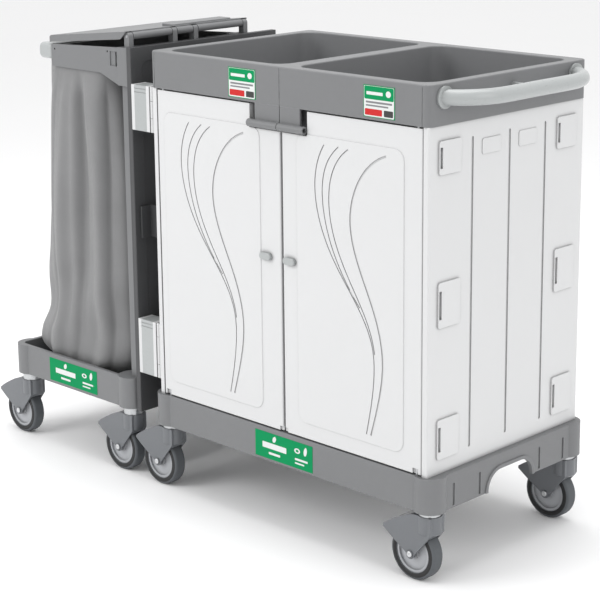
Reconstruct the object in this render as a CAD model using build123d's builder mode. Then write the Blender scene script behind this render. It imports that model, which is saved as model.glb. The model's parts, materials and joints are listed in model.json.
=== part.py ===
from build123d import *
import os

os.makedirs("parts", exist_ok=True)

# Housekeeping cart in millimetres: +X towards the push handle, the doors face -Y, +Z up.
# The origin is the middle of the footprint, on the floor.

# ---- overall sizes
cart_height = 1100.0
tray_length = 872.0
tray_depth = 545.0
tray_band = 88.0
base_length = 896.0
base_depth = 543.0
base_height = 81.0
base_lift = 168.0
module_length = 479.0
module_lift = 178.0
module_gap = 96.5
bag_frame_depth = 408.0

# ---- clearances
hinge_clearance = 0.05
turn_clearance = 1.0
soft_clearance = 0.5
door_gap = 4.0

# ---- walls and rounding
tray_wall = 4.0
tray_top = 5.0
tray_corner = 16.0
rim_width = 27.0
rim_round = 3.0
tub_drop = 150.0
tub_wall = 3.0
tub_corner = 38.0
tub_divider = 42.0
stile_seat = 4.0
head_rail_thick = 6.0
seam_width = 1.6
seam_depth = 1.0
seam_inset = 20.0
base_wall = 6.0
base_deck = 6.0
base_corner = 14.0
tower_radius = 36.0
caster_inset = 28.0
module_wall = 12.0
module_floor = 5.0
module_recess = 50.0
recess_corner = 16.0
panel_thick = 14.0
panel_tuck = 20.0
panel_front_inset = 3.0

# ---- casters
wheel_diameter = 125.0
wheel_width = 32.0
caster_trail = 36.0
fork_top = 158.0
fork_inner = 38.0
fork_leg = 5.0
fork_reach = 80.0
fork_nose_z = 106.0
fork_nose_height = 6.0
fork_head_radius = 27.0
fork_head_floor = 128.0
fork_roof = 5.0
fork_boss_radius = 12.0
wheel_gap = 4.0
axle_radius = 6.0
axle_head_radius = 8.0
axle_head = 3.0
hub_radius = 46.0
hub_width = 28.0
hub_dish = 5.0
hub_rim = 6.0
hub_boss_radius = 14.0
tyre_shoulder = 6.0
stem_radius = 10.0
stem_length = 60.0
stem_cover = 4.0
collar_radius = 25.0
kingpin_radius = 6.0
lift_clearance = 0.3

# ---- doors
door_thick = 14.0
door_inset = 3.0
door_round = 4.0
door_mid_gap = 6.0
pivot_inset = 16.0
pivot_radius = 4.0
pivot_grip = 20.0
pivot_notch_width = 16.0
pivot_notch_height = 12.0
pivot_notch_depth = 4.0
field_left_margins = (24.0, 64.0)
field_right_margins = (46.0, 50.0)
field_margin_top = 50.0
field_margin_bottom = 36.0
field_rise = 1.5
field_corner = 26.0
swirl_width = 2.6
swirl_bold = 4.4
swirl_depth = 1.2
door_edge_notch = 10.0
tab_left_length = 79.0
tab_right_length = 63.0
tab_thick = 6.0
tab_drop = 46.0
barrel_radius = 9.0
barrel_lead = 3.0
barrel_overhang = 17.0
barrel_bore = 5.5
barrel_bore_depth = 20.0
tab_notch_gap = 3.0
knob_height = 662.0
knob_left_inset = 46.0
knob_right_inset = 24.0
knob_width = 36.0
knob_length = 17.0
knob_proud = 9.0
knob_shaft = 5.0
tongue_width = 10.0
tongue_thick = 3.0
tongue_catch = 7.0
stile_width = 24.0
stile_flange = 4.0
stile_web = 4.0
stile_depth = 22.0
stile_gap = 2.0
tongue_gap = 2.0

# ---- cabinet panels and shelf
groove_width = 7.0
groove_depth = 3.0
groove_margin = 36.0
pad_rise = 4.0
pad_slot_width = 8.0
pad_slot_depth = 5.0
rear_panel_thick = 10.0
shelf_height = 590.0
shelf_thick = 5.0
shelf_lip = 22.0
shelf_front_gap = 6.0
arch_width = 160.0
arch_height = 46.0
arch_corner = 44.0
arch_lip = 8.0
arch_lip_rise = 3.0
slot_width = 7.0
slot_depth = 3.0
slot_margin = 10.0

# ---- push handle
handle_radius = 17.0
handle_reach = 62.0
handle_root_inset = 46.0
handle_bow = 8.0
handle_drop = 29.0
handle_rib = 7.0
handle_rib_height = 14.0
handle_flange = 7.0
handle_flange_thick = 5.0

# ---- bag module uprights, divider, frame and lid
post_width = 38.0
post_depth = 38.0
post_inset = 10.0
post_wall_right = 14.5
divider_thick = 16.0
divider_front_inset = 6.0
divider_depth = 494.0
divider_top = 1098.0
arm_thick = 8.0
arm_front_inset = 12.0
arm_length = 299.0
arm_top_left = 1083.0
arm_top_right = 1096.0
arm_bottom = 1027.0
arm_root_drop = 25.0
arm_root_length = 38.0
arm_flare_length = 70.0
arm_slot_inset = 46.0
arm_slot_width = 9.0
arm_slot_height = 36.0
ring_flange = 9.0
ring_thick = 6.0
beam_width = 22.0
beam_height = 34.0
grip_width = 56.0
grip_height = 41.0
grip_corner = 14.0
grip_end_round = 10.0
lid_pin_radius = 3.5
lid_pin_height = 1123.0
lid_pin_inset = 10.0
lug_radius = 9.0
lug_width = 14.0
lug_gap = 2.0
lid_sheet = 4.0
lid_skirt = 14.0
lid_rest = 1087.0
lid_overhang = 7.0
hump_length = 200.0
hump_width = 46.0
hump_drop = 12.0
hump_shift = 60.0
hump_height = 18.0
hump_round = 8.0
ear_rise = 3.0
clip_height = 80.0
clip_depth = 36.0
clip_reach = 58.0
clip_thick = 6.0
clip_inset = 22.0
clip_base = 626.0

# ---- hinge between the cabinet and the bag module
hinge_barrel_radius = 6.5
hinge_pin_radius = 3.0
hinge_block_height = 140.0
hinge_lower_z = 284.0
hinge_upper_z = 900.0
hinge_block_depth = 44.0
hinge_trim = 11.0
hinge_front_inset = 6.0
hinge_knuckle = 34.0
hinge_cap = 9.0
hinge_leaf_thick = 4.0
hinge_leaf_width = 25.0

# ---- laundry bag and labels
bag_wall = 2.0
bag_rim_drop = 0.5
bag_corner = 34.0
bag_floor_lift = 3.0
bag_top_right_inset = 36.0
bag_top_left_tuck = 12.0
label_thick = 0.6
base_label_length = 187.0
base_label_height = 64.0
module_label_length = 197.0
module_label_height = 62.0
tray_label_length = 88.0
tray_label_height = 68.0
base_label_inset = 0.395
tray_label_inset = 0.313

# ---- placement: the left end of the tray is at x = 0 before the shift to the middle
fork_half = fork_inner / 2 + fork_leg
fork_nose = caster_trail + fork_reach
cart_left = -(base_length - tray_length) / 2 - module_gap - module_length + caster_inset - fork_nose
cart_right = tray_length + handle_reach + handle_bow + handle_radius
shift_x = -(cart_left + cart_right) / 2
barrel_front = barrel_radius + barrel_lead
tower_proud = tower_radius - caster_inset
cart_front = -max(barrel_front, tower_proud - (tray_depth - base_depth) / 2)
cart_rear = max(tray_depth, (tray_depth + base_depth) / 2 + tower_proud)
shift_y = -(cart_front + cart_rear) / 2

tray_x0 = shift_x
tray_x1 = shift_x + tray_length
tray_y0 = shift_y
tray_y1 = shift_y + tray_depth
mid_x = (tray_x0 + tray_x1) / 2
mid_y = (tray_y0 + tray_y1) / 2
tray_z0 = cart_height - tray_band
base_x0 = mid_x - base_length / 2
base_x1 = mid_x + base_length / 2
base_y0 = mid_y - base_depth / 2
base_y1 = mid_y + base_depth / 2
base_top = base_lift + base_height
module_x1 = base_x0 - module_gap
module_x0 = module_x1 - module_length
module_mid_x = (module_x0 + module_x1) / 2
module_top = module_lift + base_height
panel_x0 = tray_x0 + tray_wall + hinge_clearance
panel_x1 = tray_x1 - tray_wall - hinge_clearance
inner_x0 = panel_x0 + panel_thick
inner_x1 = panel_x1 - panel_thick
panel_y0 = tray_y0 + panel_front_inset
panel_y1 = tray_y1 - tray_wall - hinge_clearance
inner_y1 = panel_y1 - rear_panel_thick
door_y0 = tray_y0 + door_inset
door_y1 = door_y0 + door_thick
door_z0 = base_top + door_gap
door_z1 = tray_z0 - door_gap
pivot_y = (door_y0 + door_y1) / 2


def keep(name, part):
    part.label = name
    export_step(part, f"parts/{name}.step")


# ================= casters =================
wheel_radius = wheel_diameter / 2
fork_right = fork_head_radius
hood_right = fork_right - 6.0
cabinet_axes = {
    "cab_fl": (base_x0 + caster_inset, base_y0 + caster_inset),
    "cab_fr": (base_x1 - caster_inset, base_y0 + caster_inset),
    "cab_rl": (base_x0 + caster_inset, base_y1 - caster_inset),
    "cab_rr": (base_x1 - caster_inset, base_y1 - caster_inset),
}
module_axes = {
    "bag_fl": (module_x0 + caster_inset, base_y0 + caster_inset),
    "bag_fr": (module_x1 - caster_inset, base_y0 + caster_inset),
    "bag_rl": (module_x0 + caster_inset, base_y1 - caster_inset),
    "bag_rr": (module_x1 - caster_inset, base_y1 - caster_inset),
}


def caster_fork(x, y):
    # hooded fork with two V-shaped legs; the axle is part of it and its heads stand proud
    nose_x = x - fork_nose
    axle_x = x - caster_trail
    side = Plane.XZ.offset(-y)
    with BuildPart() as fork:
        with BuildSketch(side):
            with BuildLine():
                roof = Spline(
                    (x - 14.0, fork_top),
                    (axle_x - 26.0, fork_top - 14.0),
                    (nose_x, fork_nose_z + fork_nose_height),
                    tangents=((-1, 0), (-1, -0.75)),
                )
                Polyline(
                    roof @ 1,
                    (nose_x, fork_nose_z),
                    (nose_x + 20.0, fork_nose_z - 14.0),
                    (axle_x - fork_boss_radius, wheel_radius),
                    (axle_x + fork_boss_radius, wheel_radius),
                    (x + hood_right - 4.0, fork_head_floor - 16.0),
                    (x + hood_right, fork_head_floor - 10.0),
                    (x + hood_right, fork_top),
                    roof @ 0,
                )
            make_face()
            with Locations((axle_x, wheel_radius)):
                Circle(fork_boss_radius)
        extrude(amount=fork_half, both=True)
        # room for the wheel between the legs, below a roof that follows it
        with BuildSketch(side):
            with Locations((axle_x, wheel_radius)):
                Circle(wheel_radius + wheel_gap)
            with BuildLine():
                Polyline(
                    (nose_x - fork_leg, fork_nose_z + 2.0 - fork_roof),
                    (axle_x - 30.0, fork_nose_z + fork_roof),
                    (x - 8.0, fork_head_floor - 22.0),
                    (x + fork_right + fork_leg, fork_head_floor - 22.0),
                    (x + fork_right + fork_leg, 0),
                    (nose_x - fork_leg, 0),
                    close=True,
                )
            make_face()
        extrude(amount=fork_inner / 2, both=True, mode=Mode.SUBTRACT)
        # round swivel head
        with BuildSketch(Plane.XY.offset(fork_head_floor - 10.0)):
            with Locations((x, y)):
                Circle(fork_head_radius)
        extrude(amount=fork_top - fork_head_floor + 10.0)
        with BuildSketch(side):
            with Locations((axle_x, wheel_radius)):
                Circle(wheel_radius + wheel_gap)
        extrude(amount=fork_inner / 2, both=True, mode=Mode.SUBTRACT)
        # axle and its heads
        with BuildSketch(side):
            with Locations((axle_x, wheel_radius)):
                Circle(axle_radius)
        extrude(amount=fork_half, both=True)
        with BuildSketch(side):
            with Locations((axle_x, wheel_radius)):
                Circle(axle_head_radius)
        extrude(amount=fork_half + axle_head, both=True)
        with BuildSketch(side):
            with Locations((axle_x, wheel_radius)):
                Circle(axle_head_radius + 0.5)
                Circle(axle_radius, mode=Mode.SUBTRACT)
        extrude(amount=fork_inner / 2, both=True, mode=Mode.SUBTRACT)
        # kingpin bore in the head
        with BuildSketch(Plane.XY.offset(fork_top)):
            with Locations((x, y)):
                Circle(kingpin_radius + hinge_clearance)
        extrude(amount=fork_head_floor + 4.0 - fork_top, mode=Mode.SUBTRACT)
    return fork.part


def caster_hub(x, y):
    # moulded wheel centre: thin web, outer rim and a boss around the axle
    axle_x = x - caster_trail
    with BuildPart() as hub:
        with BuildSketch(Plane.XZ.offset(-y)):
            with Locations((axle_x, wheel_radius)):
                Circle(hub_radius)
                Circle(axle_radius + hinge_clearance, mode=Mode.SUBTRACT)
        extrude(amount=hub_width / 2, both=True)
        for face_y, way in ((y - hub_width / 2, 1), (y + hub_width / 2, -1)):
            with BuildSketch(Plane.XZ.offset(-face_y)):
                with Locations((axle_x, wheel_radius)):
                    Circle(hub_radius - hub_rim)
                    Circle(hub_boss_radius, mode=Mode.SUBTRACT)
            extrude(amount=-way * hub_dish, mode=Mode.SUBTRACT)
    return hub.part


def caster_tyre(x, y):
    # soft tread ring with rounded shoulders
    axle_x = x - caster_trail
    with BuildPart() as tyre:
        with BuildSketch(Plane.XZ.offset(-y)):
            with Locations((axle_x, wheel_radius)):
                Circle(wheel_radius)
                Circle(hub_radius, mode=Mode.SUBTRACT)
        extrude(amount=wheel_width / 2, both=True)
        outer = tyre.edges().filter_by(GeomType.CIRCLE).group_by(SortBy.RADIUS)[-1]
        fillet(outer, tyre_shoulder)
    return tyre.part


for axes in (cabinet_axes, module_axes):
    for name, (ax, ay) in axes.items():
        keep(f"fork_{name}", caster_fork(ax, ay))
        keep(f"hub_{name}", caster_hub(ax, ay))
        keep(f"tyre_{name}", caster_tyre(ax, ay))


def caster_stems(axes, lift, length):
    # fixed stems: kingpin down into the fork, collar under the base, stem up into the tower
    with BuildPart() as stems:
        for x, y in axes.values():
            with BuildSketch(Plane.XY.offset(fork_head_floor + 5.0)):
                with Locations((x, y)):
                    Circle(kingpin_radius)
            extrude(amount=fork_top + lift_clearance - fork_head_floor - 5.0)
            with BuildSketch(Plane.XY.offset(fork_top + lift_clearance)):
                with Locations((x, y)):
                    Circle(collar_radius)
            extrude(amount=lift - fork_top - lift_clearance)
            with BuildSketch(Plane.XY.offset(lift)):
                with Locations((x, y)):
                    Circle(stem_radius)
            extrude(amount=length)
    return stems.part


module_stem_length = base_height - module_recess - stem_cover
keep("caster_stems_cabinet", caster_stems(cabinet_axes, base_lift, stem_length))
keep("caster_stems_module", caster_stems(module_axes, module_lift, module_stem_length))


# ================= cabinet base =================
def tower_spots(x0, x1):
    return [
        (x0 + caster_inset, base_y0 + caster_inset),
        (x1 - caster_inset, base_y0 + caster_inset),
        (x0 + caster_inset, base_y1 - caster_inset),
        (x1 - caster_inset, base_y1 - caster_inset),
    ]


arch_z1 = base_lift + arch_height
with BuildPart() as base_frame:
    with BuildSketch(Plane.XY.offset(base_lift)):
        with Locations((mid_x, mid_y)):
            RectangleRounded(base_length, base_depth, base_corner)
        with Locations(*tower_spots(base_x0, base_x1)):
            Circle(tower_radius)
    extrude(amount=base_height)
    with BuildSketch(Plane.XY.offset(base_lift)):
        with Locations((mid_x, mid_y)):
            RectangleRounded(base_length - 2 * base_wall, base_depth - 2 * base_wall, base_corner - base_wall)
        with Locations(*tower_spots(base_x0, base_x1)):
            Circle(tower_radius, mode=Mode.SUBTRACT)
    extrude(amount=base_height - base_deck, mode=Mode.SUBTRACT)
    # stiffening ribs under the deck
    with BuildSketch(Plane.XY.offset(base_top - base_deck - 14.0)):
        for rib in (-0.25, 0.0, 0.25):
            with Locations((mid_x + rib * base_length, mid_y)):
                Rectangle(base_wall, base_depth - base_wall)
    extrude(amount=14.0)
    # arched cut-outs with raised lips in the two end skirts
    for end_x, way in ((base_x0, -1), (base_x1, 1)):
        with BuildSketch(Plane.YZ.offset(end_x)):
            with Locations((mid_y, base_lift)):
                RectangleRounded(arch_width + 2 * arch_lip, 2 * (arch_height + arch_lip), arch_corner + arch_lip)
            with Locations((mid_y, base_lift - base_height)):
                Rectangle(base_depth, 2 * base_height, mode=Mode.SUBTRACT)
        extrude(amount=way * arch_lip_rise)
        with BuildSketch(Plane.YZ.offset(end_x + way * (arch_lip_rise + 1))):
            with Locations((mid_y, base_lift)):
                RectangleRounded(arch_width, 2 * arch_height, arch_corner)
        extrude(amount=-way * (base_wall + arch_lip_rise + 2), mode=Mode.SUBTRACT)
        # upright slots beside the arch
        near = arch_width / 2 + arch_lip + 2 * slot_margin
        far = base_depth / 2 - caster_inset - tower_radius - slot_margin
        with BuildSketch(Plane.YZ.offset(end_x)):
            for spot in (near, far):
                for side in (-1, 1):
                    with Locations((mid_y + side * spot, base_lift + base_height / 2 - slot_margin)):
                        Rectangle(slot_width, base_height - 3 * slot_margin)
        extrude(amount=-way * slot_depth, mode=Mode.SUBTRACT)
    # bores for the caster stems
    with BuildSketch(Plane.XY.offset(base_lift)):
        with Locations(*tower_spots(base_x0, base_x1)):
            Circle(stem_radius)
    extrude(amount=stem_length, mode=Mode.SUBTRACT)
    # bores for the lower door pivots
    with BuildSketch(Plane.XY.offset(base_top)):
        with Locations((tray_x0 + seam_inset + pivot_inset, pivot_y), (tray_x1 - seam_inset - pivot_inset, pivot_y)):
            Circle(pivot_radius)
    extrude(amount=-base_deck, mode=Mode.SUBTRACT)
    fillet(base_frame.faces().sort_by(Axis.Z)[-1].edges().filter_by(GeomType.LINE), 2.5)
keep("base_frame", base_frame.part)

# ================= bag module base =================
with BuildPart() as module_base:
    with BuildSketch(Plane.XY.offset(module_lift)):
        with Locations((module_mid_x, mid_y)):
            RectangleRounded(module_length, base_depth, base_corner)
        with Locations(*tower_spots(module_x0, module_x1)):
            Circle(tower_radius)
    extrude(amount=base_height)
    # recess that carries the foot of the bag
    with BuildSketch(Plane.XY.offset(module_top)):
        with Locations((module_mid_x, mid_y)):
            RectangleRounded(module_length - 2 * module_wall, base_depth - 2 * module_wall, recess_corner)
        with Locations(*tower_spots(module_x0, module_x1)[1::2]):
            Circle(tower_radius, mode=Mode.SUBTRACT)
    extrude(amount=-module_recess, mode=Mode.SUBTRACT)
    # open underside around the caster towers
    with BuildSketch(Plane.XY.offset(module_lift)):
        with Locations((module_mid_x, mid_y)):
            RectangleRounded(module_length - 2 * base_wall, base_depth - 2 * base_wall, base_corner - base_wall)
        with Locations(*tower_spots(module_x0, module_x1)):
            Circle(tower_radius, mode=Mode.SUBTRACT)
    extrude(amount=base_height - module_recess - module_floor, mode=Mode.SUBTRACT)
    with BuildSketch(Plane.XY.offset(module_lift)):
        with Locations(*tower_spots(module_x0, module_x1)):
            Circle(stem_radius)
    extrude(amount=module_stem_length, mode=Mode.SUBTRACT)
    fillet(module_base.faces().sort_by(Axis.Z)[-1].edges().filter_by(GeomType.LINE), 2.5)
keep("module_base", module_base.part)

# ================= top tray =================
tub_length = (tray_length - 2 * rim_width - tub_divider) / 2
tub_depth = tray_depth - 2 * rim_width
tub_floor_z = cart_height - tub_drop
tub_spots = [
    (mid_x - tub_divider / 2 - tub_length / 2, mid_y),
    (mid_x + tub_divider / 2 + tub_length / 2, mid_y),
]
pivot_spots = [
    (tray_x0 + seam_inset + pivot_inset, pivot_y),
    (tray_x1 - seam_inset - pivot_inset, pivot_y),
]
with BuildPart() as top_tray:
    with BuildSketch(Plane.XY.offset(tray_z0)):
        with Locations((mid_x, mid_y)):
            RectangleRounded(tray_length, tray_depth, tray_corner)
    extrude(amount=tray_band)
    with BuildSketch(Plane.XY.offset(tray_z0)):
        with Locations((mid_x, mid_y)):
            RectangleRounded(tray_length - 2 * tray_wall, tray_depth - 2 * tray_wall, tray_corner - tray_wall)
    extrude(amount=tray_band - tray_top, mode=Mode.SUBTRACT)
    # two deep compartments
    with BuildSketch(Plane.XY.offset(tub_floor_z - tub_wall)):
        with Locations(*tub_spots):
            RectangleRounded(tub_length + 2 * tub_wall, tub_depth + 2 * tub_wall, tub_corner + tub_wall)
    extrude(amount=tub_drop + tub_wall - tray_top)
    with BuildSketch(Plane.XY.offset(tub_floor_z)):
        with Locations(*tub_spots):
            RectangleRounded(tub_length, tub_depth, tub_corner)
    extrude(amount=tub_drop, mode=Mode.SUBTRACT)
    fillet(top_tray.faces().sort_by(Axis.Z)[-1].edges(), rim_round)
    # rail behind the band that carries the upper door pivots and the stile
    with BuildSketch(Plane.XY.offset(tray_z0)):
        with Locations((mid_x, tray_y0 + (rim_width - tub_wall / 2 + tray_wall / 2) / 2)):
            Rectangle(inner_x1 - inner_x0 - 2 * turn_clearance, rim_width - tub_wall / 2 - tray_wall / 2)
        seat_y1 = door_y1 + stile_gap + stile_depth + stile_seat
        with Locations((mid_x, (tray_y0 + tray_wall / 2 + seat_y1) / 2)):
            Rectangle(tub_divider - tub_wall, seat_y1 - tray_y0 - tray_wall / 2)
    extrude(amount=head_rail_thick)
    with BuildSketch(Plane.XY.offset(tray_z0)):
        with Locations(*pivot_spots):
            Circle(pivot_radius)
    extrude(amount=head_rail_thick, mode=Mode.SUBTRACT)
    # upright seams in the front of the band
    with BuildSketch(Plane.XY.offset(tray_z0)):
        for spot in (tray_x0 + tray_corner, mid_x, tray_x1 - tray_corner - tray_wall):
            with Locations((spot, tray_y0)):
                Rectangle(seam_width, 2 * seam_depth)
    extrude(amount=tray_band - rim_round - seam_depth, mode=Mode.SUBTRACT)
keep("top_tray", top_tray.part)

# ================= push handle =================
handle_z = cart_height - handle_drop
root_y0 = tray_y0 + handle_root_inset
root_y1 = tray_y1 - handle_root_inset
with BuildPart() as push_handle:
    outer_x = tray_x1 + handle_reach + handle_bow
    bend_x = tray_x1 + handle_reach * 0.66
    with BuildLine() as handle_path:
        Spline(
            (tray_x1 - tray_wall, root_y0, handle_z),
            (bend_x, root_y0 + handle_reach * 0.5, handle_z),
            (outer_x, mid_y, handle_z),
            tangents=((1, 0.25, 0), (0, 1, 0)),
        )
        Spline(
            (outer_x, mid_y, handle_z),
            (bend_x, root_y1 - handle_reach * 0.5, handle_z),
            (tray_x1 - tray_wall, root_y1, handle_z),
            tangents=((0, 1, 0), (-1, 0.25, 0)),
        )
    with BuildSketch(Plane(origin=(tray_x1 - tray_wall, root_y0, handle_z), z_dir=(1, 0.25, 0))):
        Circle(handle_radius)
    sweep(path=handle_path.wires()[0])
    # rib from the middle of the band to the grip
    with BuildSketch(Plane.XY.offset(handle_z - handle_rib_height / 2)):
        with Locations((tray_x1 + handle_reach / 2, mid_y)):
            Rectangle(handle_reach, handle_rib)
    extrude(amount=handle_rib_height)
    # root flanges against the band
    for root_y in (root_y0, root_y1):
        with BuildSketch(Plane.YZ.offset(tray_x1)):
            with Locations((root_y, handle_z)):
                Circle(handle_radius + handle_flange)
        extrude(amount=handle_flange_thick)
    with BuildSketch(Plane.YZ.offset(tray_x1)):
        with Locations((mid_y, handle_z)):
            Rectangle(tray_depth, 4 * handle_radius)
    extrude(amount=-2 * handle_radius, mode=Mode.SUBTRACT)
keep("push_handle", push_handle.part)

# ================= cabinet panels =================
panel_z1 = tray_z0 + panel_tuck
panel_mid_y = (panel_y0 + panel_y1) / 2
panel_depth = panel_y1 - panel_y0
panel_height = panel_z1 - base_top
pad_rows = (
    (base_top + 34.0, 90.0),
    (base_top + 328.0, 100.0),
    (tray_z0 - 104.0, 72.0),
)
pad_margin = 30.0
pad_width = 72.0


def side_panel(outer_x, way):
    # white double-wall end panel with three upright grooves and six bracket pads
    face = Plane.YZ.offset(outer_x)
    with BuildPart() as panel:
        with BuildSketch(face):
            with Locations((panel_mid_y, base_top + panel_height / 2)):
                Rectangle(panel_depth, panel_height)
        extrude(amount=-way * panel_thick)
        corner_edges = panel.edges().filter_by(Axis.Z).group_by(Axis.X)[-1 if way > 0 else 0]
        fillet(corner_edges, 3.0)
        # shoulders under the tray's rounded corners
        with BuildSketch(Plane.XY.offset(tray_z0)):
            for shoulder_y in (tray_y0, tray_y1):
                with Locations((outer_x, shoulder_y)):
                    Rectangle(4 * panel_thick, 2 * tray_corner)
        extrude(amount=panel_tuck, mode=Mode.SUBTRACT)
        with BuildSketch(face):
            for spot in (-0.235, 0.0, 0.235):
                with Locations((panel_mid_y + spot * panel_depth, (base_top + tray_z0) / 2)):
                    RectangleRounded(groove_width, tray_z0 - base_top - 2 * groove_margin, groove_width / 2 - 0.2)
        extrude(amount=-way * groove_depth, mode=Mode.SUBTRACT)
        for z0, high in pad_rows:
            for side in (-1, 1):
                pad_y = panel_mid_y + side * (panel_depth / 2 - pad_margin - pad_width / 2)
                with BuildSketch(face):
                    with Locations((pad_y, z0 + high / 2)):
                        RectangleRounded(pad_width, high, 6.0)
                extrude(amount=way * pad_rise)
                with BuildSketch(face.offset(way * pad_rise)):
                    with Locations((pad_y - pad_width / 2 + 3 + pad_slot_width / 2, z0 + high / 2)):
                        Rectangle(pad_slot_width, high * 0.62)
                extrude(amount=-way * (pad_slot_depth + pad_rise), mode=Mode.SUBTRACT)
        for spot in (-0.1175, 0.1175):
            with BuildSketch(face):
                with Locations((panel_mid_y + spot * panel_depth, tray_z0 - 62.0)):
                    RectangleRounded(64.0, 34.0, 5.0)
            extrude(amount=way * 1.5)
    return panel.part


keep("side_panel_left", side_panel(panel_x0, -1))
keep("side_panel_right", side_panel(panel_x1, 1))

with BuildPart() as rear_panel:
    with BuildSketch(Plane.XZ.offset(-panel_y1)):
        with Locations((mid_x, base_top + panel_height / 2)):
            Rectangle(inner_x1 - inner_x0, panel_height)
    extrude(amount=rear_panel_thick)
    with BuildSketch(Plane.XY.offset(tray_z0)):
        for shoulder_x in (tray_x0, tray_x1):
            with Locations((shoulder_x, panel_y1)):
                Rectangle(2 * tray_corner, 4 * rear_panel_thick)
    extrude(amount=panel_tuck, mode=Mode.SUBTRACT)
    with BuildSketch(Plane.XZ.offset(-panel_y1)):
        for spot in (-0.36, -0.12, 0.12, 0.36):
            with Locations((mid_x + spot * (inner_x1 - inner_x0), (base_top + tray_z0) / 2)):
                RectangleRounded(groove_width, tray_z0 - base_top - 2 * groove_margin, groove_width / 2 - 0.2)
    extrude(amount=groove_depth, mode=Mode.SUBTRACT)
keep("rear_panel", rear_panel.part)

# upright strip behind the meeting edges of the doors
stile_y0 = door_y1 + stile_gap
with BuildPart() as centre_stile:
    with BuildSketch(Plane.XY.offset(base_top)):
        with Locations((mid_x, stile_y0 + stile_flange / 2)):
            Rectangle(stile_width, stile_flange)
        with Locations((mid_x, stile_y0 + stile_depth / 2)):
            Rectangle(stile_web, stile_depth)
    extrude(amount=tray_z0 - base_top)
keep("centre_stile", centre_stile.part)

# shelf with a folded front lip
shelf_y0 = stile_y0 + stile_depth + shelf_front_gap
with BuildPart() as shelf:
    with BuildSketch(Plane.XY.offset(shelf_height)):
        with Locations((mid_x, (shelf_y0 + inner_y1) / 2)):
            Rectangle(inner_x1 - inner_x0, inner_y1 - shelf_y0)
    extrude(amount=shelf_thick)
    with BuildSketch(Plane.XY.offset(shelf_height - shelf_lip)):
        with Locations((mid_x, shelf_y0 + shelf_thick / 2)):
            Rectangle(inner_x1 - inner_x0, shelf_thick)
    extrude(amount=shelf_lip)
keep("shelf", shelf.part)

# ================= doors =================
barrel_z = tray_z0 - tab_drop
barrel_y = tray_y0 - barrel_lead
door_left_x0 = tray_x0 + seam_inset
door_left_x1 = mid_x - door_mid_gap / 2
door_right_x0 = mid_x + door_mid_gap / 2
door_right_x1 = tray_x1 - seam_inset
knob_left_x = door_left_x1 - knob_left_inset
knob_right_x = door_right_x0 + knob_right_inset

# flowing grooves on each door field, as shares of the field's width and height
swirls = (
    (swirl_width, ((0.271, 0.975), (0.182, 0.850), (0.212, 0.738), (0.357, 0.595), (0.572, 0.462),
                   (0.714, 0.338), (0.729, 0.208), (0.662, 0.030))),
    (swirl_width, ((0.406, 0.975), (0.258, 0.860), (0.262, 0.760), (0.335, 0.644), (0.600, 0.455))),
    (swirl_width, ((0.495, 0.972), (0.332, 0.865), (0.318, 0.760), (0.378, 0.652), (0.551, 0.505),
                   (0.680, 0.400), (0.738, 0.310))),
    (swirl_bold, ((0.840, 0.970), (0.606, 0.883), (0.514, 0.744), (0.588, 0.598), (0.729, 0.454),
                  (0.812, 0.297), (0.766, 0.133), (0.705, 0.030))),
)


def door(x0, x1, pivot_x, knob_x, notch_x0, notch_x1, margins):
    # pivoted panel with a raised field, flowing grooves, a corner notch and pivot bores
    field_x0 = x0 + margins[0]
    field_x1 = x1 - margins[1]
    field_z0 = door_z0 + field_margin_bottom
    field_z1 = door_z1 - field_margin_top
    field_w = field_x1 - field_x0
    field_h = field_z1 - field_z0
    front = Plane.XZ.offset(-door_y0)
    with BuildPart() as panel:
        with BuildSketch(front):
            with Locations(((x0 + x1) / 2, (door_z0 + door_z1) / 2)):
                Rectangle(x1 - x0, door_z1 - door_z0)
        extrude(amount=-door_thick)
        fillet(panel.edges().filter_by(Axis.Z).group_by(Axis.Y)[0], door_round)
        # raised field with a soft edge
        with BuildSketch(front):
            with Locations(((field_x0 + field_x1) / 2, (field_z0 + field_z1) / 2)):
                RectangleRounded(field_w, field_h, field_corner)
        extrude(amount=field_rise)
        chamfer(panel.faces().sort_by(Axis.Y)[0].edges(), field_rise * 0.8)
        with BuildSketch(front.offset(field_rise)):
            for width, points in swirls:
                with BuildLine():
                    Spline(*[(field_x0 + u * field_w, field_z0 + v * field_h) for u, v in points])
                trace(line_width=width)
        extrude(amount=-(swirl_depth + field_rise * 0.4), mode=Mode.SUBTRACT)
        # corner notch around the tab and its barrel
        with BuildSketch(front.offset(field_rise + 1)):
            with Locations(((notch_x0 + notch_x1) / 2, (barrel_z - barrel_radius - tab_notch_gap + door_z1 + 2) / 2)):
                Rectangle(notch_x1 - notch_x0, door_z1 + 2 - barrel_z + barrel_radius + tab_notch_gap)
        extrude(amount=-(door_thick + field_rise + 2), mode=Mode.SUBTRACT)
        # small recesses at the lower corners, in front of the pivot and at the meeting edge
        with BuildSketch(front):
            with Locations((pivot_x, door_z0)):
                Rectangle(pivot_notch_width, 2 * pivot_notch_height)
            inner_x = x1 if pivot_x < (x0 + x1) / 2 else x0
            with Locations((inner_x, door_z0)):
                Rectangle(2 * door_edge_notch, 2 * door_edge_notch)
        extrude(amount=-pivot_notch_depth, mode=Mode.SUBTRACT)
        # pivot bores in the top and bottom edges
        for edge_z, way in ((door_z0, 1), (door_z1, -1)):
            with BuildSketch(Plane.XY.offset(edge_z)):
                with Locations((pivot_x, pivot_y)):
                    Circle(pivot_radius + hinge_clearance)
            extrude(amount=way * (pivot_grip + turn_clearance), mode=Mode.SUBTRACT)
        # bore for the knob's shaft
        with BuildSketch(front.offset(field_rise + 1)):
            with Locations((knob_x, knob_height)):
                Circle(knob_shaft + hinge_clearance)
        extrude(amount=-(door_thick + field_rise + 2), mode=Mode.SUBTRACT)
    return panel.part


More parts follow.
